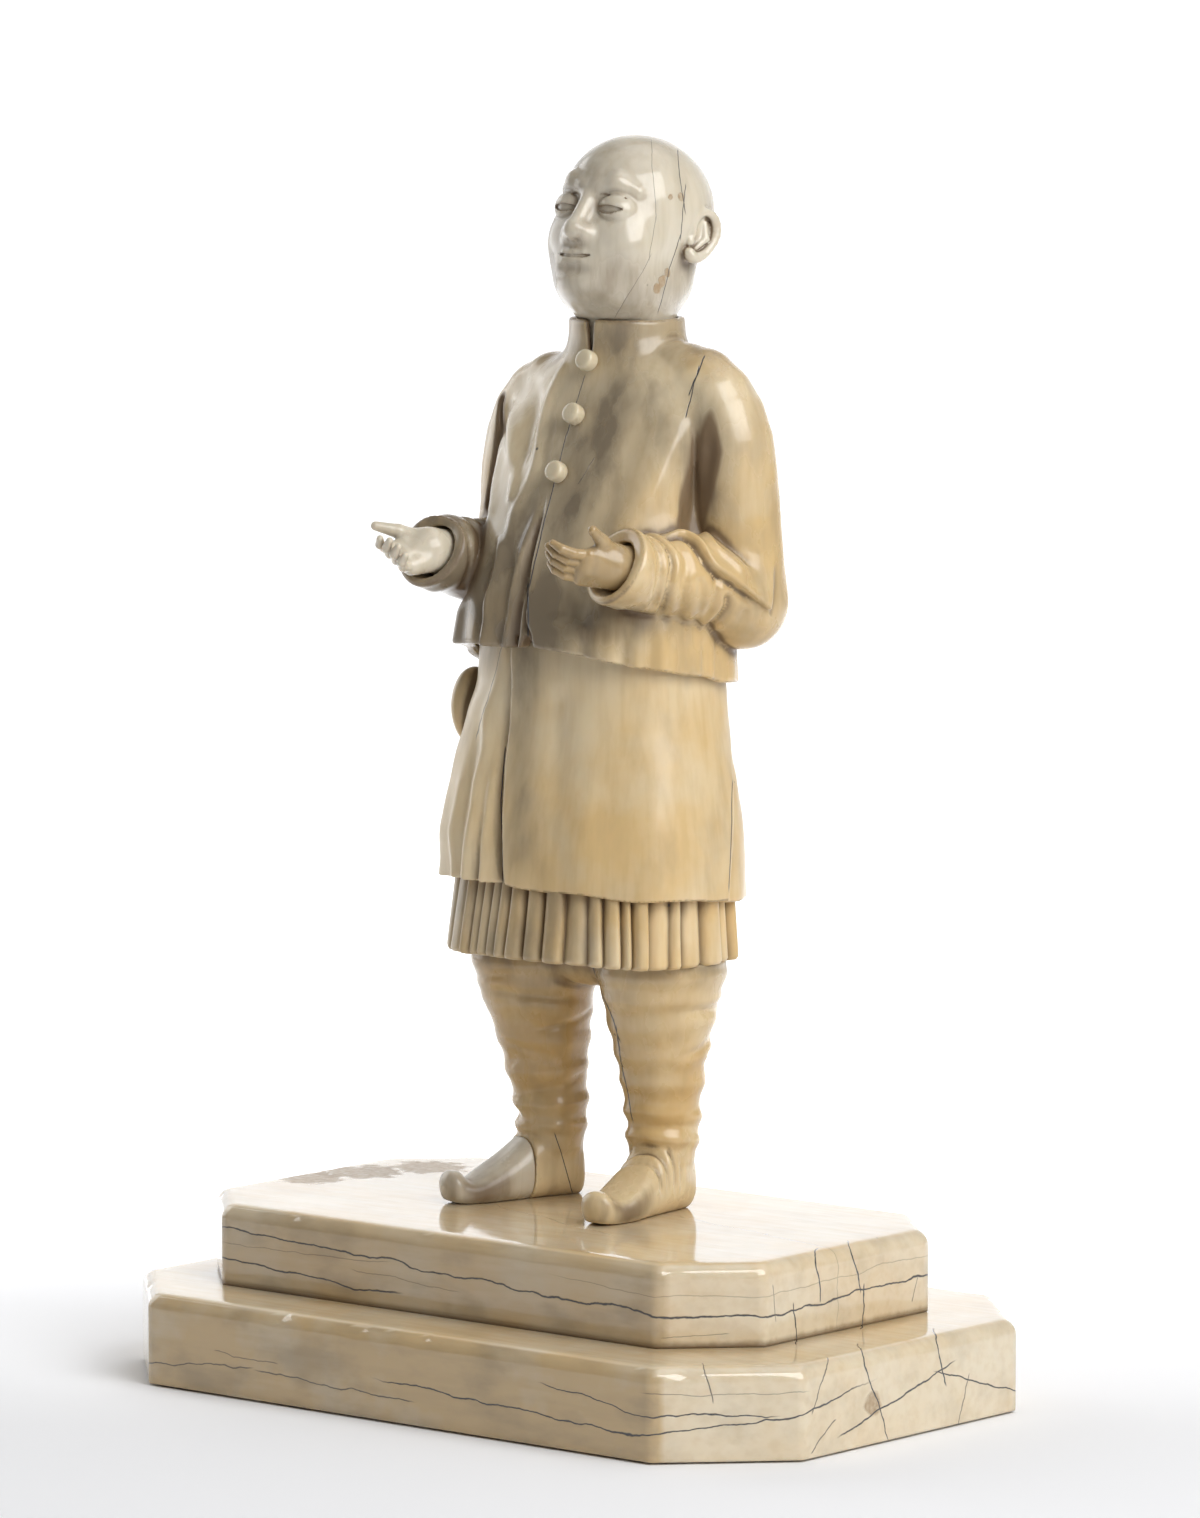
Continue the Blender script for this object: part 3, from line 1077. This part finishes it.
def sleeve(x, y, z, side):
    """A sleeve and the well in its cuff that the hand is let into."""
    arm = ARMS[side]
    form = with_rods(np.inf, x, y, z, smooth_line(arm["line"], 10))
    elbow, cuff = np.array(arm["elbow"]), np.array(arm["cuff"])
    length = float(np.linalg.norm(cuff - elbow))
    way = (cuff - elbow) / length
    above = np.array([0, 0, 1]) - way[2] * way
    above /= np.linalg.norm(above)
    off = [v - c for v, c in zip((x, y, z), cuff)]
    along, up, left = (sum(o * w for o, w in zip(off, axis)) for axis in (way, above, np.cross(above, way)))
    angle = np.arctan2(left, up)
    radius = mix(ELBOW_RADIUS, CUFF_RADIUS, smooth(along, -length, -2)) + SLEEVE_FOLDS[side](angle, along)
    forearm = cut(np.hypot(up, left) - radius, 1.6 - 2.2 * np.cos(angle) - along, 1.2)
    forearm = join(forearm, rod(x, y, z, elbow, elbow, ELBOW_RADIUS, ELBOW_RADIUS), 1)
    form = join(form, cut(forearm, along + length, 1), 1.2)
    well = cut(np.hypot(up, left) - mix(6.2, 5.2, smooth(-along, -4, 1)), along + WELL_DEPTH, 0.3)
    return form, well


ARMPIT_REACH = 9.0
ARMPITS = [
    [(24.4, 12.8, 199, 0.9), (24.8, 11.2, 189, 3.0), (22.4, 10.6, 175, 2.2)],
    [
        (-31.3, 15.4, 196.5, 0.75), (-30.4, 13.8, 190.3, 0.75), (-31.2, 13.7, 184.6, 0.75),
        (-32.4, 13.8, 179.7, 0.75), (-33.8, 13.9, 174.7, 0.75),
    ],
]


def armpits(x, y, z):
    """The deep gaps between the sleeves and the body."""
    form = ARMPIT_REACH
    for line in ARMPITS:
        form = with_rods(form, x, y, z, line)
    return form


def jacket_body(x, y, z):
    angle, out, edge = around_axis(x, y, z, JACKET_STATIONS, mix(ROUNDNESS, 2, smooth(z, 200, 208)))
    form = out - edge - JACKET_FOLDS(angle, z)
    hem = follow(JACKET_HEM, 1, np.degrees(angle))
    return cut(cut(form, z - hem, 0.7), COLLAR_TOP - z, 0.8)


def jacket_form(x, y, z):
    form = jacket_body(x, y, z)
    for side in ARMS:
        arm, well = sleeve(x, y, z, side)
        shoulder = smooth(z, 190, 199) * (1 - smooth(z, 204, 208))
        form = join(form, arm, mix(0.7, 3.6, shoulder))
        form = cut(form, well, 0.3)
    form = cut(form, armpits(x, y, z), 0.6)
    hung = np.maximum(tunic_wall(x, y, z)[0] - 0.8, z - TUNIC_TOP - JOINT_GAP)
    form = cut(form, hung, 0.3)
    bore = np.hypot(x - MIDLINE_X, y - COLLAR_MIDDLE_Y) - COLLAR_BORE
    form = cut(form, np.maximum(bore, COLLAR_FLOOR - z), 0.6)
    gap = np.maximum(np.abs(x - MIDLINE_X + 0.2) - 0.25 - 0.1 * np.clip(z - 206, 0, 9), y - 12)
    form = cut(form, np.maximum(gap, COLLAR_GAP_FOOT - z), 0.4)
    return form + hand_work(x, y, z, 0.1)


def jacket_amber(x, y, z):
    left_front = 0.3 * smooth(x, 4, 18) * smooth(z, 204, 186)
    left_sleeve = mix(0.6, 0.1, smooth(z, 180, 198)) * smooth(x, 14, 27) + 0.35 * smooth(x, 27, 33)
    right_sleeve = 0.4 * smooth(x, -24, -36)
    collar, hem = 0.5 * smooth(z, 200, 208), 0.4 * smooth(z, 168, 150)
    return np.clip(left_front + (left_sleeve + right_sleeve) + collar + hem, 0, 1)


def jacket_toning(x, y, z):
    front = smooth(-y, -20, -8)
    chest = 0.75 * bell(x - 4, 12) * bell(z - 194, 13) + 0.7 * bell(x + 1, 9) * bell(z - 177, 13)
    belly = 0.95 * bell(x + 3, 15) * bell(z - 155, 14)
    right_front = 0.12 * smooth(x, -4, -12) + 0.6 * smooth(x, -6, -12) * smooth(z, 192, 158)
    below_arm = 0.6 * bell(x - 14, 12) * bell(z - 156, 4)
    left_arm = 0.14 * smooth(x, 14, 22) + 0.1 * smooth(x, 26, 33)
    right_cuff = 1.0 * smooth(x, -22, -30) * smooth(y, 12, 2) * bell(z - 166, 14)
    armpit = 0.9 * bell(x - 23.5, 4) * bell(y - 13, 5) * bell(z - 186, 13)
    collar = 0.55 * smooth(z, 203, 209) + 0.15 * bell(x - 8, 8) * smooth(z, 188, 200)
    front = front * (chest + belly + below_arm + right_front)
    return np.clip(front + left_arm + right_cuff + armpit + collar, 0, 0.95)


def jacket_grime(x, y, z):
    seam = 0.3 * bell(x + 6.5, 1.2) * smooth(-y, -4, 2) * smooth(z, 172, 160)
    left_hem = 0.5 * bell(x - 8, 12) * bell(y + 4, 5) * bell(z - 153, 3)
    return 1.1 * bell(np.maximum(armpits(x, y, z), 0), 0.9) + left_hem + seam


JACKET_CRACKS = [
    ((-0.70, -0.60, 0.38), (19.1, 16.0, 203.8), 5, 2, 0.3, 1.0),
    ((-0.76, -0.60, 0.23), (18.7, 15.0, 200.1), 6, 3, 0.28, 1.0),
    ((-0.67, -0.50, 0.55), (2.1, 1.8, 184.5), 3.4, 2, 0.16, 0.6),
    ((-0.74, -0.60, 0.30), (-5.1, 7.2, 196.8), 7, 0.8, 0.2, 1.0),
    ((-0.75, -0.61, 0.24), (-5.7, 1.6, 182.7), 10, 0.8, 0.22, 1.0),
    ((-0.76, -0.61, 0.22), (-5.5, -4.2, 168.2), 8, 0.8, 0.28, 1.0),
    ((-0.76, -0.65, 0.00), (-5.7, -6.8, 157.1), 6, 0.8, 0.34, 1.0),
]
jacket_ivory = ivory("jacket ivory", CLOTH_PALE, CLOTH_DEEP, 0.25, (1, 1, 0.1), 0.03, JACKET_CRACKS)
carved(
    "buttoned_jacket", jacket_form, (-45, -18, 138), (38, 37, 216), 0.51, jacket_ivory, "clothes_ivory",
    "jacket", grime=jacket_grime, amber=jacket_amber, toned=jacket_toning,
)

# Head: bald, tipped back a little, with heavy jowls, on a short neck that sits down in the collar. The face
# is a calm one of plain proportions. Two thin age cracks run down the left side.
HEAD_MIDDLE = (MIDLINE_X, 22.5, 232.7)
HEAD_TILT = math.radians(16)
NECK_RADIUS = 9.7
NECK_FOOT = 205.3
NECK_TOP = 222
EAR_RIM = [
    (3.9, -1.0, 0.5), (3.3, 1.8, 0.7), (5.4, 4.2, 0.8), (8.0, 3.4, 0.85), (9.0, 0.2, 0.8), (7.4, -3.6, 0.8),
    (4.9, -5.4, 1.1), (3.6, -4.4, 0.9),
]


def eye_form(form, x, y, z):
    """Sets a half-lowered, lidded eye in its hollow: half the face, with x counted from the middle outwards."""
    form = cut(form, egg(x, y, z, (5.3, -17.0, 0.6), (4.2, 3.2, 3.0)), 2.6)
    ball = egg(x, y, z, (5.5, -11.0, 0.2), (3.9, 3.5, 3.3))
    form = join(form, ball, 0.7)
    bow = 1 - ((x - 5.6) / 3.2) ** 2
    opening = np.maximum(z - 0.45 * bow, -1.2 * bow - z)
    form = join(form, cut(ball - 0.5, opening, 0.2), 0.3)
    return cut(form, rod(x, y, z, (3.2, -14.2, 2.6), (8.2, -12.6, 2.2), 0.12, 0.1), 0.7)


def with_eggs(form, x, y, z, eggs):
    for middle, half, blend in eggs:
        form = join(form, egg(x, y, z, middle, half), blend)
    return form


def mouth_form(form, x, y, z):
    """Adds closed, full lips with a calm line between them."""
    form = join(form, egg(x, y, z, (0, -13.0, -9.9), (5.6, 2.9, 4.2)), 2.2)
    upper_lip = [(0.6, -15.5, -9.5, 0.8), (2.4, -15.1, -9.6, 0.7), (4.6, -13.8, -10.0, 0.25)]
    lower_lip = [(0, -15.1, -11.4, 1.1), (2.2, -14.8, -11.2, 0.9), (4.4, -13.7, -10.5, 0.25)]
    form = with_rods(with_rods(form, x, y, z, upper_lip, 0.5), x, y, z, lower_lip, 0.5)
    form = cut(form, rod(x, y, z, (0, -16.3, -10.45), (2.4, -15.9, -10.3), 0.22, 0.22), 0.35)
    return cut(form, rod(x, y, z, (2.4, -15.9, -10.3), (5.2, -14.2, -9.8), 0.22, 0.2), 0.35)


def face_form(x, y, z):
    """The head from its middle, level: skull, jaw, nape, jowl, chin and throat, and then the features."""
    x = np.abs(x)
    form = egg(x, y, z, (0, 1.6, 3.8), (14.2, 16.6, 14.4))
    form = with_eggs(form, x, y, z, [
        ((0, -4.2, -5.6), (11.4, 10.9, 11.6), 4),
        ((0, 6.5, -9), (11.0, 9.5, 9.5), 4),
        ((6.4, -8.2, -6.0), (5.2, 5.2, 5.6), 4),
        ((0, -11.4, -14.2), (4.6, 3.9, 3.4), 3),
        ((0, -1.5, -14.2), (11.6, 11.2, 7.5), 4),
    ])
    form = eye_form(form, x, y, z)
    brow = [(2.0, -13.8, 4.4, 0.8), (5.6, -12.9, 5.7, 0.9), (9.2, -10.5, 4.4, 0.4)]
    form = with_rods(form, x, y, z, brow, 2.2)
    form = with_rods(form, x, y, z, [(0, -13.9, 3.2, 1.0), (0, -16.8, -4.6, 1.8)], 1.9)
    nose_tip, nostril = ((0, -16.9, -5.3), (2.3, 2.1, 2.1), 1.0), ((2.4, -14.8, -5.6), (1.7, 2.4, 1.8), 1.2)
    form = with_eggs(form, x, y, z, [nose_tip, nostril])
    form = cut(form, egg(x, y, z, (1.1, -16.8, -7.5), (0.45, 0.8, 0.4)), 0.3)
    form = mouth_form(form, x, y, z)
    return cut(form, egg(x, y, z, (0, -16.6, -13.1), (3.0, 1.0, 0.7)), 1.4)


def ear_form(x, y, z):
    """A rolled rim round a shallow bowl, with an inner ridge and a lobe. It stands out a little at the back."""
    x = np.abs(x) - 0.3 * (y - 3)
    rim = smooth_line([(13.1, *place) for place in EAR_RIM], 21)
    form = with_rods(egg(x, y, z, (11.5, 5.8, -0.8), (1.5, 3.6, 5.0)), x, y, z, rim, 0.35)
    ridge = [(12.8, 6.2, 2.2, 0.5), (13.0, 6.8, -1.0, 0.75), (12.9, 5.0, -3.4, 0.5)]
    form = with_rods(form, x, y, z, ridge, 0.4)
    return join(form, egg(x, y, z, (13.0, 3.5, -2.2), (0.8, 0.8, 1.1)), 0.4)


def head_form(x, y, z):
    a, b = y - HEAD_MIDDLE[1], z - HEAD_MIDDLE[2]
    level_y = a * math.cos(HEAD_TILT) - b * math.sin(HEAD_TILT)
    level_z = a * math.sin(HEAD_TILT) + b * math.cos(HEAD_TILT)
    form = join(face_form(x - MIDLINE_X, level_y, level_z), ear_form(x - MIDLINE_X, level_y, level_z), 0.6)
    form = cut(form, z - COLLAR_TOP - 0.2, 0.4)
    neck = np.maximum(np.hypot(x - MIDLINE_X, y - COLLAR_MIDDLE_Y) - NECK_RADIUS, z - NECK_TOP)
    neck = np.maximum(neck, NECK_FOOT - z)
    return join(form, neck, 1.5) + hand_work(x, y, z, 0.05)


def head_toning(x, y, z):
    jaw, right_side, face = 0.12 * smooth(z, 226, 215), 0.15 * bell(x + 16, 6), 0.1 * smooth(-y, -20, -10)
    brow, crown = 0.1 * bell(x + 5, 9) * bell(z - 245, 5), 0.1 * smooth(z, 236, 246)
    return 0.08 + jaw + right_side + face + brow + crown


HEAD_CRACKS = [
    ((-0.77, -0.64, -0.08), (4.9, 19.4, 242.1), 10, 1.5, 0.13, 0.6),
    ((-0.77, -0.62, 0.14), (8.3, 15.2, 230.6), 5, 1.5, 0.13, 0.6),
    ((-0.68, -0.53, 0.50), (4.7, 13.7, 221.0), 8, 1.5, 0.13, 0.6),
    ((-0.77, -0.64, -0.16), (8.0, 24.5, 242.0), 8, 1.5, 0.18, 0.9),
    ((-0.77, -0.63, 0.09), (9.9, 23.1, 235.4), 6, 1.5, 0.18, 0.9),
    ((-0.75, -0.59, 0.30), (7.9, 21.1, 223.4), 9, 1.5, 0.18, 0.9),
]
HEAD_WEAR = [
    ((8.1, 20.2, 223.3), 1.2), ((8.1, 18.3, 221.8), 1.5), ((7.7, 16.6, 220.3), 1.4), ((9.5, 19.2, 238.6), 0.8),
    ((10.1, 21.8, 238.5), 1.0),
]
head_ivory = ivory("head ivory", PALE, PALE_DEEP, 0.2, (1, 1, 0.12), 0.01, HEAD_CRACKS, HEAD_WEAR)
carved(
    "bald_head", head_form, (-21, 2, 204), (14, 42, 252), 0.28, head_ivory, "pale_ivory", "head",
    toning=1.05, toned=head_toning,
)

# Hands: let into the cuffs and glued. The palms are open, with the fingers close together and a little bent.
# The right hand points a little down and its thumb reaches further than the left one's.
WRIST_RADIUS = 4.8
WRIST_DEPTH = 3
PALM_LENGTH = 7.8
FINGERS = [(2.9, 7.6, 0.3, 0.04), (1.0, 8.4, 0.4, 0.02), (-0.9, 8.0, 0.45, -0.01), (-2.8, 6.8, 0.45, -0.03)]
HANDS = {
    "left": {
        "pointing": (-0.35, -0.93, 0.05),
        "thumb_side": (0.6, 0, 0.8),
        "thumb": ((4.6, 5.4, 1.1), (7.6, 8.0, 1.6)),
        "mirror": -1,
        "curl": 0.12,
        "length": 1.0,
    },
    "right": {
        "pointing": (-0.2, -0.96, -0.16),
        "thumb_side": (-0.75, 0, 0.66),
        "thumb": ((5.2, 5.8, 1.1), (9.4, 8.4, 1.3)),
        "mirror": 1,
        "curl": 0.2,
        "length": 0.95,
    },
}


def unit(way):
    return way / np.linalg.norm(way)


def hand_form(side):
    """A hand as a field. Its places are told from the wrist: forward, aside to the thumb, and up from the palm."""
    hand, cuff = HANDS[side], np.array(ARMS[side]["cuff"])
    along = np.array(hand["pointing"]) / np.linalg.norm(hand["pointing"])
    across = unit(np.array(hand["thumb_side"]) - np.dot(hand["thumb_side"], along) * along)
    palmar = -hand["mirror"] * np.cross(along, across)
    inward = unit(cuff - np.array(ARMS[side]["elbow"]))
    wrist = cuff + 0.8 * inward

    def at(forward, aside, up):
        return tuple(wrist + forward * along + aside * across + up * palmar)

    def finger_joints(aside, length, curl, spread):
        bend, reached, lifted, joints = 0.0, PALM_LENGTH - 1.2, 0.0, []
        for part in (0.0, 0.48, 0.30, 0.26):
            bend += (curl + hand["curl"]) * (part > 0)
            reached += (length * hand["length"] + 0.8) * part * math.cos(bend - 0.3)
            lifted += (length * hand["length"] + 0.8) * part * math.sin(bend - 0.3)
            joints.append(at(reached, aside + (reached - PALM_LENGTH) * spread, lifted))
        return joints

    def form(x, y, z):
        joint = tuple(cuff + 2.0 * inward)
        shape = rod(x, y, z, tuple(cuff - WRIST_DEPTH * inward), joint, WRIST_RADIUS, 4.2)
        palm = [(joint, at(6.5, 0, 0), 4.1, 2.4, 1.5)]
        palm += [(at(1.0, 0.75 * aside, 0), at(PALM_LENGTH - 0.6, aside, 0), 2.4, 1.55, 1.6) for aside, *_ in FINGERS]
        palm.append((at(2.6, 2.2, 0.9), at(5.4, 2.8, 0.8), 2.0, 1.4, 1.2))
        palm.append((at(2.4, -2.6, 0.6), at(5.8, -2.8, 0.5), 1.9, 1.5, 1.2))
        for *ends, blend in palm:
            shape = join(shape, rod(x, y, z, *ends), blend)
        for row in FINGERS:
            joints = finger_joints(*row)
            finger = rod(x, y, z, *joints[:2], 1.2, 1.02)
            finger = join(finger, rod(x, y, z, *joints[1:3], 1.08, 0.95), 0.15)
            finger = join(finger, rod(x, y, z, *joints[2:], 1.0, 0.72), 0.15)
            shape = join(shape, finger, 0.25)
        knuckle, tip = (at(*place) for place in hand["thumb"])
        thumb = join(rod(x, y, z, at(2.2, 2.6, 0.8), knuckle, 2.2, 1.5), rod(x, y, z, knuckle, tip, 1.5, 0.95), 0.3)
        return join(shape, thumb, 0.9)

    return form


honey_ivory = ivory("honey ivory", HONEY_PALE, HONEY_DEEP, 0.24)
for side, finish, slot, amber, toned in [
    ("left", honey_ivory, "honey_ivory", 1.0, 0.5),
    ("right", pale_ivory, "pale_ivory", 0.1, 0.08),
]:
    middle = np.array(ARMS[side]["cuff"]) + (0, -8, 0)
    paint = {"amber": lambda x, y, z: amber, "toned": lambda x, y, z: toned}
    carved(
        f"{side}_palm", hand_form(side), middle - (16, 16, 14), middle + (13, 14, 14), 0.22, finish, slot,
        f"{side}_hand", toning=0.5, **paint,
    )

# Buttons: three small cushion-shaped knobs, each let a little way into the edge of the jacket's left front.
# Each stands where its plain solid does, and faces the same way.
BUTTON_RADIUS = 0.00215
BUTTON_HALF_RISE = 0.0016


def knob():
    """A tree for a button: a ball made fuller and flatter, and turned to face outwards."""
    sizes = {"Place": "Vector", "Facing": "Vector", "Radius": "Float", "Half Rise": "Float"}
    tree, given = new_shape("knob", {**sizes, "Finish": "Material"})
    ball = wire(tree, "GeometryNodeMeshUVSphere", {"Segments": 64, "Rings": 32, "Radius": 1})
    spot = wire(tree, "GeometryNodeInputPosition")
    x, y, z = parts(spot)
    wide = maths("SQRT", x**2 + y**2)
    fullness = (wide**4 + maths("ABSOLUTE", z) ** 4) ** (-1 / 4)
    fuller = wire(tree, "ShaderNodeVectorMath", {0: spot, "Scale": fullness}, operation="SCALE")
    size = wire(tree, "ShaderNodeCombineXYZ", {0: given["Radius"], 1: given["Radius"], 2: given["Half Rise"]})
    cushion = wire(tree, "ShaderNodeVectorMath", {0: fuller, 1: size}, operation="MULTIPLY")
    ball = wire(tree, "GeometryNodeSetPosition", {"Geometry": ball, "Position": cushion})
    turn = wire(tree, "FunctionNodeAlignRotationToVector", {"Vector": given["Facing"]}, axis="Z")
    one = wire(tree, "GeometryNodePoints", {"Count": 1, "Position": given["Place"]})
    set_in = wire(tree, "GeometryNodeInstanceOnPoints", {"Points": one, "Instance": ball, "Rotation": turn})
    finished(tree, set_in, given["Finish"])
    return tree


knob_tree = knob()
button_ivory = ivory("button ivory", (0.64, 0.56, 0.40, 1), HONEY_PALE, 0.26)
for level in ("top", "middle", "bottom"):
    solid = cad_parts[f"button_{level}"]
    corners = np.array([(solid.matrix_world @ v.co)[:] for v in solid.data.vertices])
    middle = corners.mean(0)
    facing = np.linalg.svd(corners - middle)[2][2]
    facing = -facing if facing[1] > 0 else facing
    values = {
        "Place": tuple(middle + 0.0001 * facing + (0, 0, 0.0005)),
        "Facing": tuple(facing),
        "Radius": BUTTON_RADIUS,
        "Half Rise": BUTTON_HALF_RISE,
        "Finish": button_ivory,
    }
    grown(f"knob_{level}", knob_tree, values, f"button_{level}")

# Studio: a pale floor that sweeps up into a backdrop, and soft white lights.
# None of it belongs to the figure.
FLOOR_WHITE = (0.91, 0.915, 0.93, 1)
FIGURE_MIDDLE = (0, 0, 0.12)
FLOOR_DROP = 0.0004
sweep = [(1.2 + 0.8 * math.sin(t), 0.8 * (1 - math.cos(t))) for t in np.radians(np.linspace(9, 90, 10))]
profile = [(-6, 0), (1.2, 0), *sweep, (2.0, 4.5)]
ahead = Vector((-towards_camera.x, -towards_camera.y, 0)).normalized()
beside = Vector((-ahead.y, ahead.x, 0))
points = []
for away, up in profile:
    for aside in (-5, 5):
        place = ahead * away + beside * aside
        points.append((place.x, place.y, up - FLOOR_DROP))
faces = [(k + 1, k, k + 2, k + 3) for k in range(0, len(points) - 2, 2)]
backdrop_mesh = bpy.data.meshes.new("backdrop")
backdrop_mesh.from_pydata(points, [], faces)
backdrop_mesh.shade_smooth()
backdrop = bpy.data.objects.new("backdrop", backdrop_mesh)
bpy.context.collection.objects.link(backdrop)
paper = bpy.data.materials.new("backdrop paper")
paper.use_nodes = True
fill(paper.node_tree.nodes["Principled BSDF"], {"Base Color": FLOOR_WHITE, "Roughness": 0.9})
backdrop_mesh.materials.append(paper)

for name, turn, rise, away, size, power, aim in [
    ("key", 80, 36, 1.2, 0.9, 13.5, FIGURE_MIDDLE),
    ("rim", -88, 18, 1.1, 0.8, 4, FIGURE_MIDDLE),
    ("top", 160, 70, 1.4, 1.2, 4, FIGURE_MIDDLE),
    ("backdrop light", 40, 35, 1.0, 1.3, 21, (-0.9, 1.1, 0.35)),
]:
    softbox = bpy.data.lights.new(name, "AREA")
    softbox.size = size
    softbox.energy = power
    aimed(name, softbox, aim, direction(turn, rise), away)
world = bpy.data.worlds.new("studio")
world.use_nodes = True
fill(world.node_tree.nodes["Background"], {"Color": (1, 1, 1, 1), "Strength": 0.14})
bpy.context.scene.world = world
bpy.context.scene.view_settings.view_transform = "Standard"
